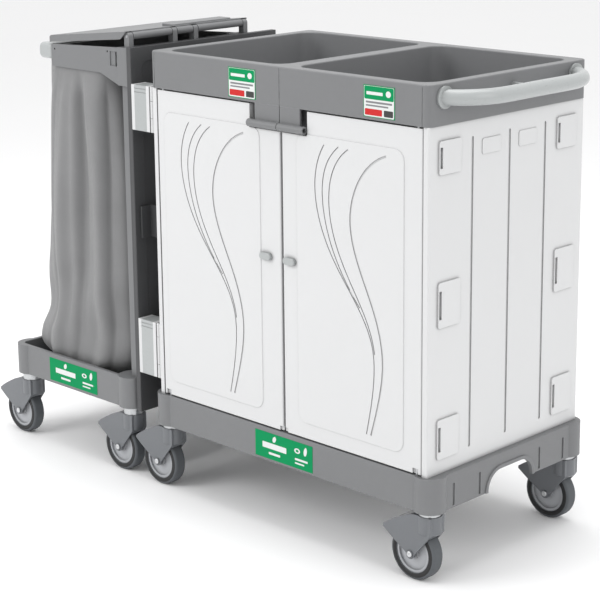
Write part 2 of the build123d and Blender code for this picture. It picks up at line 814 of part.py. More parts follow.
pivot_left_x = pivot_spots[0][0]
pivot_right_x = pivot_spots[1][0]
notch_left = mid_x - tab_left_length - barrel_overhang - tab_notch_gap
notch_right = mid_x + tab_right_length + barrel_overhang + tab_notch_gap
keep("door_left", door(door_left_x0, door_left_x1, pivot_left_x, knob_left_x, notch_left, mid_x,
                       field_left_margins))
keep("door_right", door(door_right_x0, door_right_x1, pivot_right_x, knob_right_x, mid_x, notch_right,
                        field_right_margins))

# pivot pins: fixed in the deck and in the head rail
with BuildPart() as door_pins:
    with BuildSketch(Plane.XY.offset(base_top - base_deck)):
        with Locations(*pivot_spots):
            Circle(pivot_radius)
    extrude(amount=base_deck + door_gap + pivot_grip)
    with BuildSketch(Plane.XY.offset(tray_z0 + head_rail_thick)):
        with Locations(*pivot_spots):
            Circle(pivot_radius)
    extrude(amount=-(head_rail_thick + door_gap + pivot_grip))
keep("door_pins", door_pins.part)


def lock_knob(knob_x, reach):
    # quarter-turn knob: oval grip, shaft through the door and a tongue that hangs down
    front = Plane.XZ.offset(-door_y0)
    with BuildPart() as knob:
        with BuildSketch(front.offset(turn_clearance * 0.3)):
            with Locations((knob_x, knob_height)):
                SlotOverall(knob_width, knob_length)
        extrude(amount=knob_proud)
        fillet(knob.faces().sort_by(Axis.Y)[0].edges(), 3.0)
        with BuildSketch(front.offset(turn_clearance * 0.3)):
            with Locations((knob_x, knob_height)):
                Circle(knob_shaft)
        extrude(amount=-(door_thick + stile_gap + stile_flange + tongue_gap + tongue_thick + turn_clearance * 0.3))
        with BuildSketch(Plane.XZ.offset(-(stile_y0 + stile_flange + tongue_gap))):
            with Locations((knob_x, knob_height + tongue_width / 2 - (reach + tongue_width / 2) / 2)):
                Rectangle(tongue_width, reach + tongue_width / 2)
        extrude(amount=-tongue_thick)
    return knob.part


left_reach = mid_x - stile_width / 2 + tongue_catch - knob_left_x
right_reach = knob_right_x - mid_x - stile_width / 2 + tongue_catch
keep("lock_knob_left", lock_knob(knob_left_x, left_reach))
keep("lock_knob_right", lock_knob(knob_right_x, right_reach))


def tray_tab(x0, x1, barrel_x0, barrel_x1, open_x, way):
    # tab under the band that ends in a hollow barrel
    with BuildPart() as tab:
        with BuildSketch(Plane.XZ.offset(-tray_y0)):
            with Locations(((x0 + x1) / 2, (barrel_z + tray_z0) / 2)):
                Rectangle(x1 - x0, tray_z0 - barrel_z)
        extrude(amount=-tab_thick)
        with BuildSketch(Plane.YZ.offset(barrel_x0)):
            with Locations((barrel_y, barrel_z)):
                Circle(barrel_radius)
        extrude(amount=barrel_x1 - barrel_x0)
        with BuildSketch(Plane.YZ.offset(open_x)):
            with Locations((barrel_y, barrel_z)):
                Circle(barrel_bore)
        extrude(amount=way * barrel_bore_depth, mode=Mode.SUBTRACT)
    return tab.part


tab_gap = 1.0
tab_left_x0 = mid_x - tab_left_length
tab_right_x1 = mid_x + tab_right_length
keep("tray_tab_left", tray_tab(tab_left_x0, mid_x - tab_gap, tab_left_x0 - barrel_overhang, mid_x - tab_gap,
                               tab_left_x0 - barrel_overhang, 1))
keep("tray_tab_right", tray_tab(mid_x + tab_gap, tab_right_x1, mid_x + tab_gap, tab_right_x1 + barrel_overhang,
                                tab_right_x1 + barrel_overhang, -1))

# ================= labels =================
label_x0 = base_x0 + base_label_inset * base_length
with BuildPart() as label_base:
    with BuildSketch(Plane.XZ.offset(-base_y0)):
        with Locations((label_x0 + base_label_length / 2, base_lift + base_height / 2 - 3.0)):
            Rectangle(base_label_length, base_label_height)
    extrude(amount=label_thick)
keep("label_base", label_base.part)

with BuildPart() as label_module:
    with BuildSketch(Plane.XZ.offset(-base_y0)):
        with Locations((module_mid_x + 4.0, module_lift + base_height / 2 - 2.0)):
            Rectangle(module_label_length, module_label_height)
    extrude(amount=label_thick)
keep("label_module", label_module.part)

with BuildPart() as tray_labels:
    with BuildSketch(Plane.XZ.offset(-tray_y0)):
        for spot in (tray_x0 + tray_label_inset * tray_length, tray_x0 + (tray_label_inset + 0.478) * tray_length):
            with Locations((spot + tray_label_length / 2, tray_z0 + tray_band / 2 - 4.0)):
                Rectangle(tray_label_length, tray_label_height)
    extrude(amount=label_thick)
keep("tray_labels", tray_labels.part)

# ================= bag module: posts and divider =================
post_x1 = module_x1 + post_wall_right
post_x0 = post_x1 - post_width
divider_x0 = post_x1
divider_x1 = divider_x0 + divider_thick
divider_y0 = tray_y0 + divider_front_inset
frame_y0 = tray_y0 + arm_front_inset
frame_y1 = frame_y0 + bag_frame_depth
post_front_y = frame_y0 + post_inset
post_rear_y = frame_y1 - post_inset - post_depth
post_top = arm_bottom - arm_root_drop


def upright(y):
    with BuildPart() as post:
        with BuildSketch(Plane.XY.offset(module_top)):
            with Locations(((post_x0 + post_x1) / 2, y + post_depth / 2)):
                Rectangle(post_width, post_depth)
        extrude(amount=post_top - module_top)
        fillet(post.edges().filter_by(Axis.Z).group_by(Axis.X)[0], 3.0)
    return post.part


keep("upright_front", upright(post_front_y))
keep("upright_rear", upright(post_rear_y))

with BuildPart() as divider_panel:
    with BuildSketch(Plane.XY.offset(module_lift)):
        with Locations(((divider_x0 + divider_x1) / 2, divider_y0 + divider_depth / 2)):
            Rectangle(divider_thick, divider_depth)
    extrude(amount=divider_top - module_lift)
    fillet(divider_panel.edges().filter_by(Axis.Z), 2.0)
    with BuildSketch(Plane.YZ.offset(divider_x1)):
        with Locations((divider_y0 + divider_depth / 2, (module_top + divider_top) / 2)):
            RectangleRounded(divider_depth - 70.0, divider_top - module_top - 70.0, 24.0)
    extrude(amount=-2.0, mode=Mode.SUBTRACT)
keep("divider_panel", divider_panel.part)

# ================= bag frame =================
arm_x1 = divider_x0
arm_x0 = arm_x1 - arm_length
ring_z0 = arm_bottom + 16.0
pin_x = divider_x0 - lid_pin_inset
pin_z = lid_pin_height
lug_spots = (
    frame_y0 + lug_width / 2 + 6.0,
    frame_y0 + bag_frame_depth * 0.38,
    frame_y0 + bag_frame_depth * 0.55,
    frame_y1 - lug_width / 2 - 6.0,
)
with BuildPart() as bag_frame:
    # two tapered arms
    with BuildSketch(Plane.XZ.offset(-frame_y0)):
        with BuildLine():
            Polyline(
                (arm_x1, post_top),
                (arm_x1, arm_top_right),
                (arm_x0, arm_top_left),
                (arm_x0, arm_bottom),
                (arm_x1 - arm_root_length - arm_flare_length, arm_bottom),
                (arm_x1 - arm_root_length, post_top),
                close=True,
            )
        make_face()
    extrude(amount=-arm_thick)
    mirror(about=Plane.XZ.offset(-(frame_y0 + frame_y1) / 2))
    # heads over the two posts
    for head_y in (post_front_y, post_rear_y):
        with BuildSketch(Plane.XY.offset(post_top)):
            with Locations(((post_x0 + post_x1) / 2, head_y + post_depth / 2)):
                Rectangle(post_width, post_depth)
        extrude(amount=arm_top_right - post_top)
    for web_y in (frame_y0 + arm_thick, frame_y1 - arm_thick):
        with BuildSketch(Plane.XY.offset(post_top)):
            with Locations(((post_x0 + post_x1) / 2, web_y)):
                Rectangle(post_width, 2 * post_inset)
        extrude(amount=arm_top_right - post_top)
    # beam between the heads and the front cross rail
    with BuildSketch(Plane.XY.offset(arm_top_right - beam_height)):
        with Locations((arm_x1 - beam_width / 2, (frame_y0 + frame_y1) / 2)):
            Rectangle(beam_width, bag_frame_depth - 2 * arm_thick)
    extrude(amount=beam_height)
    # inner flange that the bag's hem hangs under
    with BuildSketch(Plane.XY.offset(ring_z0)):
        with Locations(((arm_x0 + arm_x1) / 2, (frame_y0 + frame_y1) / 2)):
            Rectangle(arm_length, bag_frame_depth - arm_thick)
            Rectangle(arm_length - 2 * ring_flange, bag_frame_depth - 2 * arm_thick - 2 * ring_flange,
                      mode=Mode.SUBTRACT)
    extrude(amount=ring_thick)
    # left cross rail
    with BuildSketch(Plane.XY.offset(ring_z0)):
        with Locations((arm_x0 + arm_thick / 2, (frame_y0 + frame_y1) / 2)):
            Rectangle(arm_thick, bag_frame_depth - arm_thick)
    extrude(amount=arm_top_left - ring_z0 - 4.0)
    # pocket and slot near the root of each arm
    slot_x = arm_x1 - arm_slot_inset
    slot_z = (arm_bottom + arm_top_right) / 2 + 4.0
    for face_y, way in ((frame_y0, -1), (frame_y1, 1)):
        with BuildSketch(Plane.XZ.offset(-face_y)):
            with Locations((slot_x - arm_slot_width, slot_z)):
                Rectangle(3 * arm_slot_width, arm_slot_height)
        extrude(amount=way * arm_thick * 0.3, mode=Mode.SUBTRACT)
        with BuildSketch(Plane.XZ.offset(-face_y)):
            with Locations((slot_x, slot_z)):
                Rectangle(arm_slot_width, arm_slot_height)
            with Locations((arm_x0 + 12.0, arm_top_left - 12.0), (slot_x - 32.0, arm_top_right - 14.0)):
                Circle(2.5)
        extrude(amount=way * arm_thick * 0.7, mode=Mode.SUBTRACT)
    # lugs that carry the lid's pin
    for lug_y in lug_spots:
        with BuildSketch(Plane.XZ.offset(-(lug_y + lug_width / 2))):
            with Locations((pin_x, pin_z)):
                Circle(lug_radius)
            with Locations((pin_x, (pin_z + arm_top_right) / 2)):
                Rectangle(2 * lug_radius, pin_z - arm_top_right)
        extrude(amount=lug_width)
    with BuildSketch(Plane.XZ.offset(-frame_y0)):
        with Locations((pin_x, pin_z)):
            Circle(lid_pin_radius)
    extrude(amount=-bag_frame_depth, mode=Mode.SUBTRACT)
keep("bag_frame", bag_frame.part)

# steel pin through the lugs and the lid
pin_y0 = lug_spots[0] - lug_width / 2
pin_y1 = lug_spots[-1] + lug_width / 2
with BuildPart() as lid_pin:
    with BuildSketch(Plane.XZ.offset(-pin_y0)):
        with Locations((pin_x, pin_z)):
            Circle(lid_pin_radius)
    extrude(amount=-(pin_y1 - pin_y0))
keep("lid_pin", lid_pin.part)

# rounded grip bar across the free ends of the arms
grip_x1 = arm_x0
grip_z0 = ring_z0
grip_z1 = grip_z0 + grip_height
with BuildPart() as grip_bar:
    with BuildSketch(Plane.XZ.offset(-frame_y0)):
        with Locations((grip_x1 - grip_width / 2, (grip_z0 + grip_z1) / 2)):
            RectangleRounded(grip_width, grip_height, grip_corner)
    extrude(amount=-bag_frame_depth)
    fillet(grip_bar.faces().sort_by(Axis.Y)[0].edges(), grip_end_round)
    fillet(grip_bar.faces().sort_by(Axis.Y)[-1].edges(), grip_end_round)
keep("grip_bar", grip_bar.part)

# ================= lid =================
lid_x0 = arm_x0 - lid_overhang
lid_x1 = pin_x
lid_top_left = lid_rest + lid_skirt + lid_sheet
barrel_spans = [
    (lug_spots[i] + lug_width / 2 + lug_gap, lug_spots[i + 1] - lug_width / 2 - lug_gap) for i in range(3)
]
with BuildPart() as bag_lid:
    # sloping shell with a skirt on three sides
    with BuildSketch(Plane.XZ.offset(-frame_y0)):
        with BuildLine():
            Polyline(
                (lid_x0, lid_rest),
                (lid_x0, lid_top_left - 4.0),
                (lid_x0 + 6.0, lid_top_left),
                (lid_x1, pin_z + lug_radius + 3.0),
                (lid_x1, pin_z + lug_radius - 1.0),
                (lid_x1 - 2 * lug_radius, pin_z - 8.0),
                close=True,
            )
        make_face()
    extrude(amount=-bag_frame_depth)
    with BuildSketch(Plane.XZ.offset(-(frame_y0 + lid_sheet))):
        with BuildLine():
            Polyline(
                (lid_x0 + lid_sheet, lid_rest - 2.0),
                (lid_x0 + lid_sheet, lid_top_left - lid_sheet - 1.0),
                (lid_x1 - lug_radius - 3.0, pin_z + lug_radius + 2.0 - lid_sheet),
                (lid_x1 - lug_radius - 3.0, pin_z - lug_radius - 8.0),
                close=True,
            )
        make_face()
    extrude(amount=-(bag_frame_depth - 2 * lid_sheet), mode=Mode.SUBTRACT)
    # room for the lugs over the whole swing
    for lug_y in lug_spots:
        with BuildSketch(Plane.XZ.offset(-(lug_y - lug_width / 2 - lug_gap))):
            with Locations((pin_x, pin_z)):
                Circle(lug_radius + lug_gap)
                with Locations((lug_radius, 0)):
                    Rectangle(4 * lug_radius, 2 * (lug_radius + lug_gap))
        extrude(amount=-(lug_width + 2 * lug_gap), mode=Mode.SUBTRACT)
    # knuckles on the pin
    for y0, y1 in barrel_spans:
        with BuildSketch(Plane.XZ.offset(-y0)):
            with Locations((pin_x, pin_z)):
                Circle(lug_radius)
            with BuildLine():
                Polyline(
                    (lid_x1, pin_z + lug_radius + ear_rise),
                    (lid_x1 - 3 * lug_radius, pin_z + lug_radius + 1.0),
                    (lid_x1 - 3 * lug_radius, pin_z + 2.0),
                    (lid_x1, pin_z),
                    close=True,
                )
            make_face()
        extrude(amount=-(y1 - y0))
    with BuildSketch(Plane.XZ.offset(-frame_y0)):
        with Locations((pin_x, pin_z)):
            Circle(lid_pin_radius + hinge_clearance)
    extrude(amount=-bag_frame_depth, mode=Mode.SUBTRACT)
    # raised hand grip along the hinged edge
    hump_y0 = (frame_y0 + frame_y1) / 2 - hump_length / 2 + hump_shift
    with BuildSketch(Plane.XY.offset(pin_z + lug_radius - hump_drop)):
        with Locations((lid_x1 - lug_radius - hump_width / 2, hump_y0 + hump_length / 2)):
            RectangleRounded(hump_width, hump_length, hump_round)
    extrude(amount=hump_height)
    hump_edge = min(hump_round * 0.7, 0.8 * (hump_height - hump_drop - ear_rise))
    fillet(bag_lid.faces().sort_by(Axis.Z)[-1].edges(), hump_edge)
keep("bag_lid", bag_lid.part)

# ================= clip on the divider =================
clip_y0 = tray_y0 + clip_inset
with BuildPart() as panel_clip:
    with BuildSketch(Plane.XY.offset(clip_base)):
        with Locations((divider_x1 + clip_thick / 2, clip_y0 + clip_depth / 2)):
            Rectangle(clip_thick, clip_depth)
        with Locations((divider_x1 + clip_reach / 2, clip_y0 + clip_depth - clip_thick / 2)):
            Rectangle(clip_reach, clip_thick)
        with Locations((divider_x1 + clip_reach - clip_thick / 2, clip_y0 + clip_depth * 0.72)):
            Rectangle(clip_thick, clip_depth * 0.56)
    extrude(amount=clip_height)
    fillet(panel_clip.edges().filter_by(Axis.Z).group_by(Axis.Y)[0], 1.5)
keep("panel_clip", panel_clip.part)

# ================= hinges between the cabinet and the bag module =================
barrel_x = panel_x0 - hinge_barrel_radius - hinge_leaf_thick
hinge_y = tray_y0 + hinge_front_inset
block_y0 = tray_y0 + hinge_front_inset
leaf_x1 = barrel_x - hinge_barrel_radius - hinge_clearance
block_x0 = divider_x1 + hinge_trim
block_x1 = leaf_x1 - hinge_trim
hinge_rows = ((hinge_lower_z, hinge_block_height), (hinge_upper_z, tray_z0 - turn_clearance - hinge_upper_z))
pin_reach = hinge_y + hinge_barrel_radius

with BuildPart() as hinge_leaf_cabinet:
    for z0, high in hinge_rows:
        # plate on the side panel
        with BuildSketch(Plane.XY.offset(z0)):
            with Locations((panel_x0 - hinge_leaf_thick / 2, panel_y0 + 3.0 + hinge_leaf_width / 2)):
                Rectangle(hinge_leaf_thick, hinge_leaf_width)
        extrude(amount=high)
        # top and bottom knuckles
        for k0 in (z0, z0 + high - hinge_knuckle):
            with BuildSketch(Plane.XY.offset(k0)):
                with Locations((barrel_x, pin_reach)):
                    Circle(hinge_barrel_radius)
                with Locations((barrel_x + (hinge_barrel_radius + hinge_leaf_thick) / 2, pin_reach)):
                    Rectangle(hinge_barrel_radius + hinge_leaf_thick, hinge_barrel_radius)
                with Locations((barrel_x, pin_reach)):
                    Circle(hinge_pin_radius, mode=Mode.SUBTRACT)
            extrude(amount=hinge_knuckle)
keep("hinge_leaf_cabinet", hinge_leaf_cabinet.part)

with BuildPart() as hinge_pins:
    for z0, high in hinge_rows:
        with BuildSketch(Plane.XY.offset(z0)):
            with Locations((barrel_x, pin_reach)):
                Circle(hinge_pin_radius)
        extrude(amount=high)
keep("hinge_pins", hinge_pins.part)

with BuildPart() as hinge_blocks:
    for z0, high in hinge_rows:
        with BuildSketch(Plane.XY.offset(z0)):
            with Locations(((block_x0 + block_x1) / 2, block_y0 + hinge_block_depth / 2)):
                Rectangle(block_x1 - block_x0, hinge_block_depth)
        extrude(amount=high)
        # shallow joint lines that mark the cap
        for drop in (1, 2):
            with BuildSketch(Plane.XY.offset(z0 + high - drop * hinge_cap)):
                with Locations(((block_x0 + block_x1) / 2, block_y0)):
                    Rectangle(block_x1 - block_x0, 2 * seam_depth)
            extrude(amount=seam_width, mode=Mode.SUBTRACT)
keep("hinge_blocks", hinge_blocks.part)

with BuildPart() as hinge_leaf_module:
    for z0, high in hinge_rows:
        # bright strips on both sides of the block
        with BuildSketch(Plane.XY.offset(z0)):
            for x0, x1 in ((divider_x1, block_x0), (block_x1, leaf_x1)):
                with Locations(((x0 + x1) / 2, block_y0 + hinge_block_depth / 2)):
                    Rectangle(x1 - x0, hinge_block_depth)
        extrude(amount=high)
        # middle knuckle, clear of the cabinet's two
        with BuildSketch(Plane.XY.offset(z0 + hinge_knuckle + turn_clearance)):
            with Locations((barrel_x, pin_reach)):
                Circle(hinge_barrel_radius)
            with Locations((barrel_x - hinge_barrel_radius / 2 - 1.0, pin_reach)):
                Rectangle(hinge_barrel_radius + 2.0, hinge_barrel_radius)
            with Locations((barrel_x, pin_reach)):
                Circle(hinge_pin_radius + hinge_clearance, mode=Mode.SUBTRACT)
        extrude(amount=high - 2 * hinge_knuckle - 2 * turn_clearance)
keep("hinge_leaf_module", hinge_leaf_module.part)

# ================= laundry bag =================
bag_y0 = frame_y0 + arm_thick + soft_clearance
bag_y1 = frame_y1 - arm_thick - soft_clearance
bag_z1 = ring_z0 - bag_rim_drop
bag_z0 = module_top - module_recess + bag_floor_lift * 0.1
bag_foot_x0 = module_x0 + module_wall + soft_clearance
bag_foot_x1 = module_x1 - caster_inset - tower_radius - soft_clearance
bag_head_x0 = arm_x0 - grip_width + bag_top_left_tuck
bag_head_x1 = post_x0 - bag_top_right_inset


# height share, left end, right end and inset of the front and back
bag_sections = (
    (0.0, bag_foot_x0 + 22.0, bag_foot_x1 - 26.0, 14.0),
    (0.065, bag_foot_x0, bag_foot_x1, 0.0),
    (0.45, bag_foot_x0 + 62.0, bag_head_x1 + 12.0, 0.0),
    (1.0, bag_head_x0, bag_head_x1, 0.0),
)


with BuildPart() as laundry_bag:
    # lofted body from the foot to the rim, then the same drawn in by the cloth's thickness
    for wall, rise, mode in ((0.0, 0.0, Mode.ADD), (bag_wall, 1.0, Mode.SUBTRACT)):
        for share, x0, x1, inset in bag_sections:
            with BuildSketch(Plane.XY.offset(bag_z0 + wall + share * (bag_z1 - bag_z0 - wall + rise))):
                with Locations(((x0 + x1) / 2, (bag_y0 + bag_y1) / 2)):
                    RectangleRounded(x1 - x0 - 2 * wall, bag_y1 - bag_y0 - 2 * (inset + wall), bag_corner - wall)
        loft(ruled=True, mode=mode)
keep("laundry_bag", laundry_bag.part)
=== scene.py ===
import json
import math
import bpy
import numpy as np
from mathutils import Matrix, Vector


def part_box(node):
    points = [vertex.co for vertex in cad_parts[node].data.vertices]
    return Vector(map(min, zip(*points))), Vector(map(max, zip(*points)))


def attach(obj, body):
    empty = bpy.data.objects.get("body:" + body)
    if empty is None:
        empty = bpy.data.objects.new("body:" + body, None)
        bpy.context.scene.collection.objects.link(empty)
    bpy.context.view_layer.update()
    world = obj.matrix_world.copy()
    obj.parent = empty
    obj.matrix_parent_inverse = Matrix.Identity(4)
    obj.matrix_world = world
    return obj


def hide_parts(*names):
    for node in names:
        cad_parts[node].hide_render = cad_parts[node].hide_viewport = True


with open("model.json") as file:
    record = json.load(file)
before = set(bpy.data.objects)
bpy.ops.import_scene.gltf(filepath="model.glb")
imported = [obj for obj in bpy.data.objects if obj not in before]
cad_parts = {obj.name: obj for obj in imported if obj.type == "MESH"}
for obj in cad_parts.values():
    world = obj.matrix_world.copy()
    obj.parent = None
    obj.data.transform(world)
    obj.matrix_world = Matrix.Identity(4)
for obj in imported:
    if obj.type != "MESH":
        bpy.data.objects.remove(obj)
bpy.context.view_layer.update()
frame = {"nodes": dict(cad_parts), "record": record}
print("frame loaded", len(frame["nodes"]), "nodes")


# ---- small node helpers
def addNode(tree, kind, settings=None, **sockets):
    made = tree.nodes.new(kind)
    for key, value in (settings or {}).items():
        setattr(made, key, value)
    for key, value in sockets.items():
        socket = made.inputs[key.replace("_", " ")]
        if isinstance(value, bpy.types.NodeSocket):
            tree.links.new(value, socket)
        else:
            socket.default_value = value
    return made


def mathNode(tree, operation, first, second=0.0, third=0.0, clamp=False):
    made = tree.nodes.new("ShaderNodeMath")
    made.operation, made.use_clamp = operation, clamp
    for place, value in enumerate((first, second, third)):
        if isinstance(value, bpy.types.NodeSocket):
            tree.links.new(value, made.inputs[place])
        else:
            made.inputs[place].default_value = value
    return made.outputs[0]


def mixColor(tree, factor, first, second, blend="MIX"):
    made = tree.nodes.new("ShaderNodeMix")
    made.data_type, made.blend_type = "RGBA", blend
    for place, value in ((0, factor), (6, first), (7, second)):
        if isinstance(value, bpy.types.NodeSocket):
            tree.links.new(value, made.inputs[place])
        else:
            made.inputs[place].default_value = value if place == 0 else (*value, 1.0)
    return made.outputs[2]


def newMaterial(name):
    made = bpy.data.materials.new(name)
    made.use_nodes = True
    tree = made.node_tree
    tree.nodes.clear()
    shader = tree.nodes.new("ShaderNodeBsdfPrincipled")
    output = tree.nodes.new("ShaderNodeOutputMaterial")
    tree.links.new(shader.outputs[0], output.inputs[0])
    place = tree.nodes.new("ShaderNodeTexCoord").outputs["Object"]
    return made, tree, shader, place


def scaled(tree, place, scale):
    return addNode(tree, "ShaderNodeMapping", Vector=place, Scale=scale).outputs[0]


def noise(tree, place, scale, detail=3.0, rough=0.5):
    made = addNode(tree, "ShaderNodeTexNoise", Vector=place, Scale=scale, Detail=detail, Roughness=rough)
    return made.outputs[0]


def remap(tree, value, low, high):
    # 0 at low, 1 at high, held outside
    return addNode(tree, "ShaderNodeMapRange", Value=value, From_Min=low, From_Max=high).outputs[0]


# ---- moulded plastic: patchy tone, fine grain, edges lightened as rubbed wear and painted highlight, painted shade in the corners
# tone darkens the colour in patches and the crevice factor darkens it as painted shade, edge is the width of
# the rubbed and highlit rim, reach how far the painted shade spreads
plastics = {
    "grey_plastic": dict(
        color=(0.176, 0.179, 0.184), tone=0.84, rough=0.46, grain=0.1, grainScale=950,
        wearAndHighlight=0.5, wearAndHighlightColor=(0.420, 0.430, 0.440), edge=0.0016, creviceShade=0.78, reach=0.02,
        coat=0.05),
    "white_plastic": dict(
        color=(0.615, 0.618, 0.622), tone=0.965, rough=0.4, grain=0.05, grainScale=700,
        wearAndHighlight=0.35, wearAndHighlightColor=(0.800, 0.800, 0.810), edge=0.0014, creviceShade=0.5, reach=0.009,
        coat=0.08),
    "light_grey_plastic": dict(
        color=(0.375, 0.392, 0.392), tone=0.9, rough=0.3, grain=0.03, grainScale=600,
        wearAndHighlight=0.35, wearAndHighlightColor=(0.600, 0.610, 0.620), edge=0.0018, creviceShade=0.65, reach=0.03,
        coat=0.25),
    "charcoal_plastic": dict(
        color=(0.062, 0.063, 0.066), tone=0.75, rough=0.5, grain=0.08, grainScale=900,
        wearAndHighlight=0.45, wearAndHighlightColor=(0.140, 0.140, 0.150), edge=0.0015, creviceShade=0.7, reach=0.03,
        coat=0.0),
    "caster_plastic": dict(
        color=(0.150, 0.158, 0.170), tone=0.8, rough=0.38, grain=0.05, grainScale=900,
        wearAndHighlight=0.5, wearAndHighlightColor=(0.340, 0.360, 0.390), edge=0.0012, creviceShade=0.55, reach=0.02,
        coat=0.1),
    "hub_plastic": dict(
        color=(0.400, 0.410, 0.430), tone=0.88, rough=0.42, grain=0.05, grainScale=800,
        wearAndHighlight=0.3, wearAndHighlightColor=(0.680, 0.690, 0.700), edge=0.001, creviceShade=0.55, reach=0.012,
        coat=0.0),
    "tread": dict(
        color=(0.095, 0.103, 0.112), tone=0.7, rough=0.68, grain=0.22, grainScale=1500,
        wearAndHighlight=0.3, wearAndHighlightColor=(0.170, 0.170, 0.175), edge=0.0012, creviceShade=0.75, reach=0.02,
        coat=0.0),
    "sticker": dict(
        color=(0.001, 0.260, 0.088), tone=0.9, rough=0.62, grain=0.02, grainScale=500,
        wearAndHighlight=0.15, wearAndHighlightColor=(0.080, 0.400, 0.200), edge=0.0004, creviceShade=0.9, reach=0.004,
        coat=0.0, shine=0.12),
}


surfaceLook = {
    "patchScale": 5.0, "patchShare": 0.65, "mottleScale": 60.0, "mottleShare": 0.35, "toneBase": 0.1,
    "creviceFrom": 0.35, "creviceTo": 0.95,
    "edgeFrom": 0.995, "edgeTo": 0.86, "brokenScale": 38.0, "brokenFrom": 0.35, "brokenTo": 0.62,
    "scuffStretch": (9.0, 9.0, 60.0), "scuffScale": 6.0, "scuffGloss": 0.22, "rubbedGloss": 0.1,
    "rippleScale": 9.0, "rippleShare": 1.4, "bumpDepth": 0.0012, "coatRough": 0.25,
}


def makePlastic(name, look):
    made, tree, shader, place = newMaterial(name)
    common = surfaceLook
    patches = noise(tree, place, common["patchScale"], 4.0, 0.6)
    mottle = noise(tree, place, common["mottleScale"], 3.0, 0.6)
    tone = mathNode(tree, "MULTIPLY_ADD", patches, common["patchShare"], common["toneBase"])
    tone = mathNode(tree, "MULTIPLY_ADD", mottle, common["mottleShare"], tone, clamp=True)
    deep = tuple(channel * look["tone"] for channel in look["color"])
    body = mixColor(tree, tone, deep, look["color"])
    # painted shade: the colour is darkened where surfaces meet, by ambient occlusion
    crevice = addNode(tree, "ShaderNodeAmbientOcclusion", dict(samples=6), Distance=look["reach"])
    crevice = crevice.outputs["AO"]
    crevice = remap(tree, crevice, common["creviceFrom"], common["creviceTo"])
    shadedColor = tuple(channel * look["creviceShade"] for channel in look["color"])
    body = mixColor(tree, crevice, shadedColor, body)
    # rubbed edges, lightened both as wear and as painted highlight, broken up by noise
    bevel = addNode(tree, "ShaderNodeBevel", dict(samples=4), Radius=look["edge"]).outputs[0]
    plain = tree.nodes.new("ShaderNodeNewGeometry").outputs["Normal"]
    turn = tree.nodes.new("ShaderNodeVectorMath")
    turn.operation = "DOT_PRODUCT"
    tree.links.new(bevel, turn.inputs[0])
    tree.links.new(plain, turn.inputs[1])
    edge = remap(tree, turn.outputs["Value"], common["edgeFrom"], common["edgeTo"])
    broken = noise(tree, place, common["brokenScale"], 5.0, 0.65)
    broken = remap(tree, broken, common["brokenFrom"], common["brokenTo"])
    rubbedAndHighlit = mathNode(tree, "MULTIPLY", edge, mathNode(tree, "MULTIPLY", broken, look["wearAndHighlight"]), clamp=True)
    body = mixColor(tree, rubbedAndHighlit, body, look["wearAndHighlightColor"])
    tree.links.new(body, shader.inputs["Base Color"])
    # scuffs change the gloss
    scuffs = noise(tree, scaled(tree, place, common["scuffStretch"]), common["scuffScale"], 5.0, 0.7)
    # centred on the plastic's own roughness
    smoothest = look["rough"] - common["scuffGloss"] / 2
    gloss = mathNode(tree, "MULTIPLY_ADD", scuffs, common["scuffGloss"], smoothest)
    gloss = mathNode(tree, "MULTIPLY_ADD", rubbedAndHighlit, common["rubbedGloss"], gloss, clamp=True)
    tree.links.new(gloss, shader.inputs["Roughness"])
    grain = noise(tree, place, look["grainScale"], 2.0, 0.6)
    ripple = noise(tree, place, common["rippleScale"], 2.0, 0.5)
    height = mathNode(tree, "MULTIPLY_ADD", ripple, common["rippleShare"], grain)
    bump = addNode(tree, "ShaderNodeBump", Height=height, Strength=look["grain"],
                   Distance=common["bumpDepth"], Normal=bevel)
    tree.links.new(bump.outputs[0], shader.inputs["Normal"])
    shader.inputs["Coat Weight"].default_value = look["coat"]
    shader.inputs["Coat Roughness"].default_value = common["coatRough"]
    shader.inputs["Specular IOR Level"].default_value = look.get("shine", 0.5)
    return made


def makeSteel(name, color=(0.56, 0.57, 0.58)):
    made, tree, shader, place = newMaterial(name)
    streaks = noise(tree, scaled(tree, place, (40.0, 40.0, 900.0)), 2.0, 4.0, 0.6)
    spots = noise(tree, place, 120.0, 4.0, 0.6)
    tree.links.new(mixColor(tree, spots, tuple(c * 0.8 for c in color), color), shader.inputs["Base Color"])
    tree.links.new(mathNode(tree, "MULTIPLY_ADD", streaks, 0.3, 0.16), shader.inputs["Roughness"])
    bump = addNode(tree, "ShaderNodeBump", Height=streaks, Strength=0.08, Distance=0.0005)
    tree.links.new(bump.outputs[0], shader.inputs["Normal"])
    shader.inputs["Metallic"].default_value = 1.0
    return made


materials = {name: makePlastic(name, look) for name, look in plastics.items()}
materials["steel"] = makeSteel("steel")
slotOf = {row["node"]: row["material_slot"] for row in frame["record"]["subparts"]}
for nodeName, thing in frame["nodes"].items():
    slotName = slotOf[nodeName]
    if slotName in materials:
        thing.data.materials.clear()
        thing.data.materials.append(materials[slotName])
print("materials on the frame")


# ---- mesh helpers
def meshObject(name, points, faces, material, smooth=True, uv=None):
    mesh = bpy.data.meshes.new(name)
    mesh.from_pydata(points.tolist(), [], [list(face) for face in faces])
    mesh.update()
    for item in (material if isinstance(material, (list, tuple)) else [material]):
        mesh.materials.append(item)
    mesh.polygons.foreach_set("use_smooth", np.full(len(mesh.polygons), smooth))
    if uv is not None:
        layer = mesh.uv_layers.new(name="UVMap")
        corners = np.zeros(len(mesh.loops), np.int32)
        mesh.loops.foreach_get("vertex_index", corners)
        layer.data.foreach_set("uv", uv[corners].astype(np.float32).ravel())
    made = bpy.data.objects.new(name, mesh)
    bpy.context.scene.collection.objects.link(made)
    return made


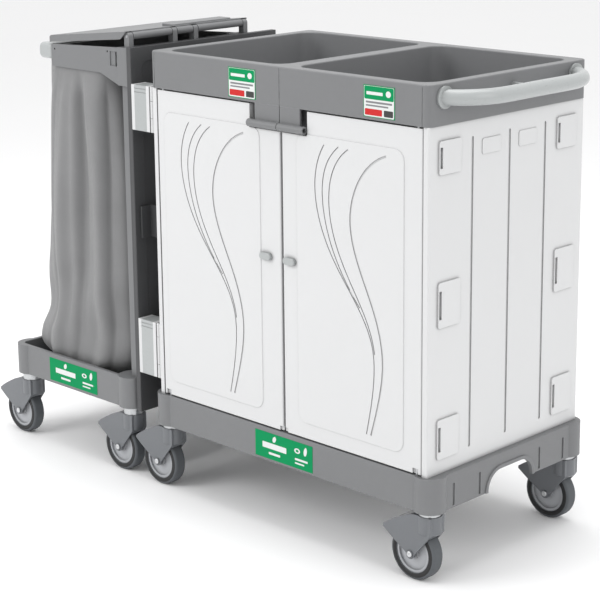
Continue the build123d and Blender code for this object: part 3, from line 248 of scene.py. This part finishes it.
# ---- printed marks on the stickers: plain shapes, no lettering
def ovalShape(cx, cz, wide, high, lean=0.0, pointed=1.0):
    # ellipse whose upper half is drawn to a point, then leaned over
    angle = np.linspace(0, 2 * math.pi, 40, endpoint=False)
    narrowing = np.where(np.sin(angle) > 0, np.abs(np.cos(angle)) ** (pointed - 1), 1)
    across = wide / 2 * np.cos(angle) * narrowing
    up = high / 2 * np.sin(angle)
    return np.stack([cx + across + lean * up, cz + up], 1)


def barShape(x0, x1, z0, z1, corner=0.002):
    # rectangle with quarter-circle corners
    angle = np.linspace(0, math.pi / 2, 6)
    quarter = []
    for turn, cx, cz in ((0, x1 - corner, z1 - corner), (1, x0 + corner, z1 - corner),
                         (2, x0 + corner, z0 + corner), (3, x1 - corner, z0 + corner)):
        a = angle + turn * math.pi / 2
        quarter.append(np.stack([cx + corner * np.cos(a), cz + corner * np.sin(a)], 1))
    return np.concatenate(quarter)


printLook = {"lift": 0.00012, "layer": 0.00004}


def printMarks(name, body, marks, y, palette):
    # flat outlines in the plane y, each laid a little in front of the one before
    points, faces, which = [], [], []
    for order, (shape, tint) in enumerate(marks):
        start = sum(len(p) for p in points)
        depth = np.full(len(shape), y - printLook["lift"] - printLook["layer"] * order)
        points.append(np.stack([shape[:, 0], depth, shape[:, 1]], 1))
        faces.append(list(range(start, start + len(shape))))
        which.append(tint)
    made = meshObject(name, np.concatenate(points), faces, palette, smooth=False)
    made.data.polygons.foreach_set("material_index", np.array(which, np.int32))
    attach(made, body)
    return made


inkLook = dict(plastics["sticker"], wearAndHighlight=0.0, creviceShade=1.0)
# a mark names its ink by its place in this list
inks = [
    makePlastic("ink_white", dict(inkLook, color=(0.70, 0.72, 0.71))),
    makePlastic("ink_green", dict(inkLook, color=(0.001, 0.26, 0.088))),
    makePlastic("ink_red", dict(inkLook, color=(0.55, 0.03, 0.03))),
    makePlastic("ink_grey", dict(inkLook, color=(0.22, 0.22, 0.23))),
    makePlastic("ink_dark", dict(inkLook, color=(0.06, 0.06, 0.06))),
]


def wideLabel(name, node, body):
    low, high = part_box(node)
    wide, tall = high.x - low.x, high.z - low.z

    def at(u, v):
        return low.x + u * wide, low.z + v * tall

    def bar(u0, u1, v0, v1):
        (x0, z0), (x1, z1) = at(u0, v0), at(u1, v1)
        return barShape(x0, x1, z0, z1, 0.0015)

    marks = [
        (ovalShape(*at(0.34, 0.80), wide * 0.06, tall * 0.24, 0.25, 1.6), 0),
        (bar(0.13, 0.55, 0.40, 0.62), 0),
        (bar(0.24, 0.44, 0.18, 0.27), 0),
        (ovalShape(*at(0.74, 0.66), wide * 0.10, tall * 0.20), 0),
        (ovalShape(*at(0.74, 0.66), wide * 0.05, tall * 0.10), 1),
        (ovalShape(*at(0.88, 0.72), wide * 0.055, tall * 0.34, 0.15, 1.5), 0),
        (bar(0.70, 0.92, 0.30, 0.38), 0),
        (bar(0.70, 0.86, 0.16, 0.22), 0),
    ]
    return printMarks(name, body, marks, low.y, inks)


wideLabel("print_base", "label_base", "cabinet")
wideLabel("print_module", "label_module", "bag_module")

trayLow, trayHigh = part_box("tray_labels")
trayLabel = {"wide": 0.088}  # two stickers of this width at the ends of the node


def smallLabel(left):
    wide, tall = trayLabel["wide"], trayHigh.z - trayLow.z

    def bar(u0, u1, v0, v1, corner):
        return barShape(left + u0 * wide, left + u1 * wide,
                        trayLow.z + v0 * tall, trayLow.z + v1 * tall, corner)

    return [
        (bar(0.02, 0.98, 0.02, 0.98, 0.003), 0),
        (bar(0.03, 0.97, 0.56, 0.97, 0.003), 1),
        (bar(0.10, 0.62, 0.70, 0.80, 0.001), 0),
        (ovalShape(left + 0.80 * wide, trayLow.z + 0.77 * tall, wide * 0.16, tall * 0.2), 0),
        (bar(0.08, 0.92, 0.44, 0.50, 0.001), 3),
        (bar(0.08, 0.80, 0.34, 0.39, 0.001), 3),
        (bar(0.05, 0.60, 0.06, 0.26, 0.002), 2),
        (bar(0.66, 0.95, 0.06, 0.26, 0.002), 4),
    ]


smallMarks = smallLabel(trayLow.x) + smallLabel(trayHigh.x - trayLabel["wide"])
printMarks("print_tray", "cabinet", smallMarks, trayLow.y, inks)
print("sticker prints")

# ---- wheel side rings and axle bolts
wheelLook = {
    "ringInner": 0.0463, "ringOuter": 0.0574, "ringRoot": 0.004, "steps": 72,
    "bolt": 0.0068, "boltRise": 0.0012, "boltSteps": 36, "boltAxis": 1e-5,
}


def ringSurface(profile, x, z, steps):
    # profile of (radius, y) carried round the wheel's axle
    turn = np.linspace(0, 2 * math.pi, steps, endpoint=False)
    radius, across = np.array(profile).T
    points = np.stack([x + np.outer(radius, np.cos(turn)), np.repeat(across[:, None], steps, 1),
                       z + np.outer(radius, np.sin(turn))], 2)
    index = np.arange(len(radius) * steps).reshape(len(radius), steps)
    a, b = index, np.roll(index, -1, 0)
    quads = np.stack([a, np.roll(a, -1, 1), np.roll(b, -1, 1), b], 2).reshape(-1, 4)
    return points.reshape(-1, 3), quads


blackRubber = makePlastic("black_rubber", dict(plastics["tread"], color=(0.012, 0.012, 0.013),
                                               wearAndHighlightColor=(0.05, 0.05, 0.052), coat=0.1))
boltSteel = makeSteel("bolt_steel", (0.72, 0.73, 0.74))
casterKeys = [name[5:] for name in frame["nodes"] if name.startswith("tyre_")]
for key in sorted(casterKeys):
    low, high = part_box("tyre_" + key)
    axleX, axleZ, middleY = (low.x + high.x) / 2, (low.z + high.z) / 2, (low.y + high.y) / 2
    for side, way in (("front", -1), ("rear", 1)):
        face = middleY + way * (high.y - low.y) / 2
        inner, outer = wheelLook["ringInner"], wheelLook["ringOuter"]
        root = wheelLook["ringRoot"]
        profile = [(inner, face - way * root), (inner + 0.0008, face + way * 0.0004),
                   (outer - 0.0022, face + way * 0.0006), (outer, face - way * 0.0004),
                   (outer - 0.002, face - way * root)]
        points, quads = ringSurface(profile[::way], axleX, axleZ, wheelLook["steps"])
        ring = meshObject(f"side_ring_{key}_{side}", points, quads, blackRubber)
        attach(ring, "wheel_" + key)
    forkLow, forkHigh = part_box("fork_" + key)
    for side, face, way in (("front", forkLow.y, -1), ("rear", forkHigh.y, 1)):
        size, rise, axis = wheelLook["bolt"], wheelLook["boltRise"], wheelLook["boltAxis"]
        profile = [(axis, face - way * 0.001), (size, face - way * 0.001), (size, face + way * rise * 0.5),
                   (size * 0.8, face + way * rise), (axis, face + way * rise * 1.2)]
        points, quads = ringSurface(profile[::way], axleX, axleZ, wheelLook["boltSteps"])
        bolt = meshObject(f"axle_bolt_{key}_{side}", points, quads, boltSteel)
        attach(bolt, "swivel_" + key)
print("wheel details")

# ---- laundry bag
bagLook = {
    "around": 260, "down": 150, "rimZ": 1.0405, "footZ": 0.2200, "rowSpacing": 0.97,
    # height, left edge, right edge, front, rear, corner exponent
    "profile": (
        (1.0405, -0.5740, -0.3400, -0.2485, 0.1400, 9.0),
        (0.9300, -0.5920, -0.3290, -0.2480, 0.1395, 7.0),
        (0.8000, -0.6050, -0.3220, -0.2460, 0.1390, 6.0),
        (0.6200, -0.6260, -0.3230, -0.2450, 0.1385, 5.5),
        (0.4500, -0.6460, -0.3260, -0.2440, 0.1375, 5.0),
        (0.3600, -0.6640, -0.3230, -0.2430, 0.1380, 5.0),
        (0.3000, -0.6980, -0.3230, -0.2430, 0.1370, 4.5),
        (0.2550, -0.7080, -0.3380, -0.2410, 0.1360, 3.8),
        (0.2200, -0.6880, -0.3780, -0.2240, 0.1250, 3.2),
    ),
    "foldDepth": 0.0140, "thick": 0.0011, "color": (0.226, 0.227, 0.230),
    # the flat pattern: girth, height of the side, and the foot drawn under it
    "patternGirth": 1.42, "patternSide": 0.82, "patternFoot": 0.18, "patternStep": 0.02,
    # foot rings: share of the outline, drop below its last row
    "footRings": ((0.96, 0.004), (0.88, 0.0065), (0.72, 0.0075), (0.5, 0.0075),
                  (0.25, 0.0075), (0.08, 0.0075)),
    # seam on the flat pattern: height, outer and inner half width
    "seamAt": 0.186, "seamOuter": 0.0045, "seamInner": 0.0015,
}


def smoothRows(rows, heights):
    # cubic through the rows of the profile, as a function of height
    rows = np.array(rows)[::-1]
    z = rows[:, 0]
    slopes = np.gradient(rows[:, 1:], z, axis=0)
    k = np.clip(np.searchsorted(z, heights) - 1, 0, len(z) - 2)
    step = (z[k + 1] - z[k])[:, None]
    s = np.clip((heights - z[k]) / (z[k + 1] - z[k]), 0, 1)[:, None]
    a, b = rows[k, 1:], rows[k + 1, 1:]
    return (a * (2 * s**3 - 3 * s**2 + 1) + slopes[k] * step * (s**3 - 2 * s**2 + s)
            + b * (3 * s**2 - 2 * s**3) + slopes[k + 1] * step * (s**3 - s**2))


def bagSurface(look):
    # rounded box whose outline changes with height; folds run down it as summed waves that lean and fade
    turn = np.linspace(0, 2 * math.pi, look["around"], endpoint=False)
    drop = np.linspace(0, 1, look["down"]) ** look["rowSpacing"]
    heights = look["rimZ"] + (look["footZ"] - look["rimZ"]) * drop
    left, right, front, rear, power = smoothRows(look["profile"], heights).T
    cx, cy = (left + right) / 2, (front + rear) / 2
    hx, hy = (right - left) / 2, (rear - front) / 2
    c, s = np.cos(turn)[None], np.sin(turn)[None]
    p = power[:, None]
    radial = (np.abs(c) ** p + np.abs(s) ** p) ** (-1 / p)
    x = cx[:, None] + hx[:, None] * c * radial
    y = cy[:, None] + hy[:, None] * s * radial
    t = drop[:, None]
    a = turn[None]
    # folds grow from nothing at the rim, and are deepest half way down
    belly = 0.55 + 0.75 * np.sin(math.pi * np.clip(t * 0.95, 0, 1)) ** 0.7
    fade = np.clip(t / 0.10, 0, 1) ** 1.3 * belly
    lean = a + 0.16 * t + 0.10 * np.sin(3.1 * t + 1.0)
    # broad waves with narrow valleys between them: 2|sin|^0.9 - 1
    broad = 2 * np.abs(np.sin(5 * lean + 0.35 + 0.5 * t)) ** 0.9 - 1
    folds = (0.50 * broad + 0.26 * np.sin(7 * lean + 1.4 - 0.8 * t) + 0.34 * np.sin(13 * lean - 1.3 * t + 2.1)
             + 0.17 * np.sin(21 * lean + 2.0 * t) + 0.26 * np.sin(5 * a - 2.6 * t + 0.4))
    # slanting creases over the bulge at the foot only
    low = np.clip((t - 0.62) / 0.2, 0, 1) * np.clip((1.03 - t) / 0.16, 0, 1)
    creases = 0.55 * np.sin(4 * a + 17 * t + 0.6) * low
    bulges = 0.35 * np.sin(3 * a + 4.2 * t)
    push = look["foldDepth"] * fade * (folds + creases + bulges)
    # outward direction of the outline
    nx = np.sign(c) * np.abs(c) ** (p - 1) / hx[:, None]
    ny = np.sign(s) * np.abs(s) ** (p - 1) / hy[:, None]
    size = np.sqrt(nx**2 + ny**2) + 1e-9
    x, y = x + push * nx / size, y + push * ny / size
    z = np.repeat(heights[:, None], look["around"], 1)
    return x, y, z


def bagMesh(look):
    # the surface above with its foot closed, and the flat pattern as UV
    x, y, z = bagSurface(look)
    rings = [np.stack([x, y, z], 2)]
    # closed foot: the last ring is drawn in towards the middle in a few steps, a little lower each time
    last = rings[0][-1]
    middle = last.mean(0)
    for share, low in look["footRings"]:
        ring = middle + (last - middle) * share
        ring[:, 2] = last[:, 2] - low
        rings.append(ring[None])
    grid = np.concatenate(rings, 0)
    rows, cols = grid.shape[:2]
    index = np.arange(rows * cols).reshape(rows, cols)
    a, b = index[:-1], index[1:]
    quads = np.stack([a, b, np.roll(b, -1, 1), np.roll(a, -1, 1)], 2).reshape(-1, 4)
    centre = rows * cols
    deepest = look["footRings"][-1][1]
    points = np.concatenate([grid.reshape(-1, 3), [[middle[0], middle[1], last[:, 2].mean() - deepest]]])
    fan = np.stack([index[-1], np.full(cols, centre), np.roll(index[-1], -1)], 1)
    faces = quads.tolist() + fan.tolist()
    u = np.tile(np.arange(cols) / cols * look["patternGirth"], rows)
    side = 1.0 - np.linspace(0, look["patternSide"], look["down"])
    foot = look["patternFoot"] - look["patternStep"] * np.arange(1, len(look["footRings"]) + 1)
    v = np.repeat(np.concatenate([side, foot]), cols)
    uv = np.stack([np.append(u, 0.7), np.append(v, 0.0)], 1)
    return points, faces, uv


def makeCloth(name, look):
    made, tree, shader, place = newMaterial(name)
    color = look["color"]
    threads = []
    for direction in ("X", "Z"):
        wave = addNode(tree, "ShaderNodeTexWave", dict(bands_direction=direction), Vector=place, Scale=430.0,
                       Distortion=0.6, Detail=1.0)
        threads.append(wave.outputs[1])
    weave = mathNode(tree, "MAXIMUM", threads[0], threads[1])
    shade = noise(tree, place, 7.0, 4.0, 0.6)
    lint = noise(tree, place, 240.0, 3.0, 0.7)
    body = mixColor(tree, shade, tuple(c * 0.80 for c in color), tuple(c * 1.12 for c in color))
    body = mixColor(tree, mathNode(tree, "MULTIPLY", lint, 0.35), body, tuple(c * 0.7 for c in color))
    # stitched seam round the foot, placed on the flat pattern
    pattern = addNode(tree, "ShaderNodeUVMap").outputs[0]
    along = addNode(tree, "ShaderNodeSeparateXYZ", Vector=pattern).outputs[1]
    away = mathNode(tree, "ABSOLUTE", mathNode(tree, "SUBTRACT", along, look["seamAt"]))
    seam = remap(tree, away, look["seamOuter"], look["seamInner"])
    body = mixColor(tree, mathNode(tree, "MULTIPLY", seam, 0.6), body, tuple(c * 0.30 for c in color))
    tree.links.new(body, shader.inputs["Base Color"])
    tree.links.new(mathNode(tree, "MULTIPLY_ADD", weave, 0.15, 0.66), shader.inputs["Roughness"])
    wrinkles = noise(tree, scaled(tree, place, (1.0, 1.0, 0.55)), 26.0, 5.0, 0.6)
    height = mathNode(tree, "MULTIPLY_ADD", wrinkles, 6.0, weave)
    bump = addNode(tree, "ShaderNodeBump", Height=height, Strength=0.30, Distance=0.0011)
    tree.links.new(bump.outputs[0], shader.inputs["Normal"])
    shader.inputs["Sheen Weight"].default_value = 0.25
    shader.inputs["Sheen Roughness"].default_value = 0.45
    return made


clothMaterial = makeCloth("cloth", bagLook)
points, faces, uv = bagMesh(bagLook)
bag = meshObject("laundry_bag_cloth", points, faces, clothMaterial, uv=uv)
print("bag area", round(sum(face.area for face in bag.data.polygons), 4))
shell = bag.modifiers.new("shell", "SOLIDIFY")
shell.thickness, shell.offset = bagLook["thick"], -1
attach(bag, "bag_module")
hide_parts("laundry_bag")
print("bag made")

# ---- floor, light and camera
stageLook = {
    "floor": (0.965, 0.965, 0.968), "world": 0.93, "lens": 105.96, "camera": (3.045, -2.991, 1.632),
    "azimuth": 44.67, "elevation": 12.96, "roll": -0.57, "shiftY": -0.125, "sensor": 36.0, "farClip": 200,
    "floorReach": 30, "floorPatch": 1.3, "floorTone": 0.985, "floorRough": 0.75,
}
# name, place, target, size, power
lampLook = (
    ("key", (-1.6, -3.6, 2.9), (0.0, 0.0, 0.5), (2.2, 2.0), 66),
    ("side", (3.8, -0.2, 2.0), (0.3, 0.0, 0.6), (2.0, 2.2), 22),
    ("top", (0.0, 0.2, 3.6), (0.0, 0.0, 0.0), (3.0, 2.2), 56),
)
floorPoints = stageLook["floorReach"] * np.array([[-1, -1, 0], [1, -1, 0], [1, 1, 0], [-1, 1, 0]], float)
floorMaterial, tree, shader, place = newMaterial("floor")
patches = noise(tree, place, stageLook["floorPatch"], 3.0)
dimFloor = tuple(c * stageLook["floorTone"] for c in stageLook["floor"])
tree.links.new(mixColor(tree, patches, dimFloor, stageLook["floor"]), shader.inputs["Base Color"])
shader.inputs["Roughness"].default_value = stageLook["floorRough"]
floor = meshObject("floor", floorPoints, [[0, 1, 2, 3]], floorMaterial, smooth=False)

world = bpy.data.worlds.new("studio")
bpy.context.scene.world = world
world.use_nodes = True
sky = world.node_tree.nodes["Background"]
sky.inputs[0].default_value = (1.0, 1.0, 1.0, 1.0)
sky.inputs[1].default_value = stageLook["world"]


def softLight(name, place, target, size, power):
    lamp = bpy.data.lights.new(name, "AREA")
    lamp.shape, lamp.size, lamp.size_y, lamp.energy = "RECTANGLE", size[0], size[1], power
    made = bpy.data.objects.new(name, lamp)
    bpy.context.scene.collection.objects.link(made)
    made.location = place
    # the lamp's own -Z is turned towards the target
    way = np.array(target, float) - np.array(place, float)
    flat = math.hypot(way[0], way[1])
    made.rotation_euler = (math.atan2(flat, -way[2]), 0, math.atan2(way[1], way[0]) - math.pi / 2)
    return made


for lampRow in lampLook:
    softLight(*lampRow)

camera = bpy.data.cameras.new("camera")
eye = bpy.data.objects.new("camera", camera)
bpy.context.scene.collection.objects.link(eye)
eye.location = stageLook["camera"]
turned = (Matrix.Rotation(math.radians(stageLook["azimuth"]), 3, "Z")
          @ Matrix.Rotation(math.radians(90 - stageLook["elevation"]), 3, "X")
          @ Matrix.Rotation(math.radians(stageLook["roll"]), 3, "Z"))
eye.rotation_euler = turned.to_euler()
camera.sensor_width, camera.lens = stageLook["sensor"], stageLook["lens"]
camera.shift_y, camera.clip_end = stageLook["shiftY"], stageLook["farClip"]
bpy.context.scene.camera = eye
bpy.context.scene.view_settings.view_transform = "Standard"
print("stage ready")
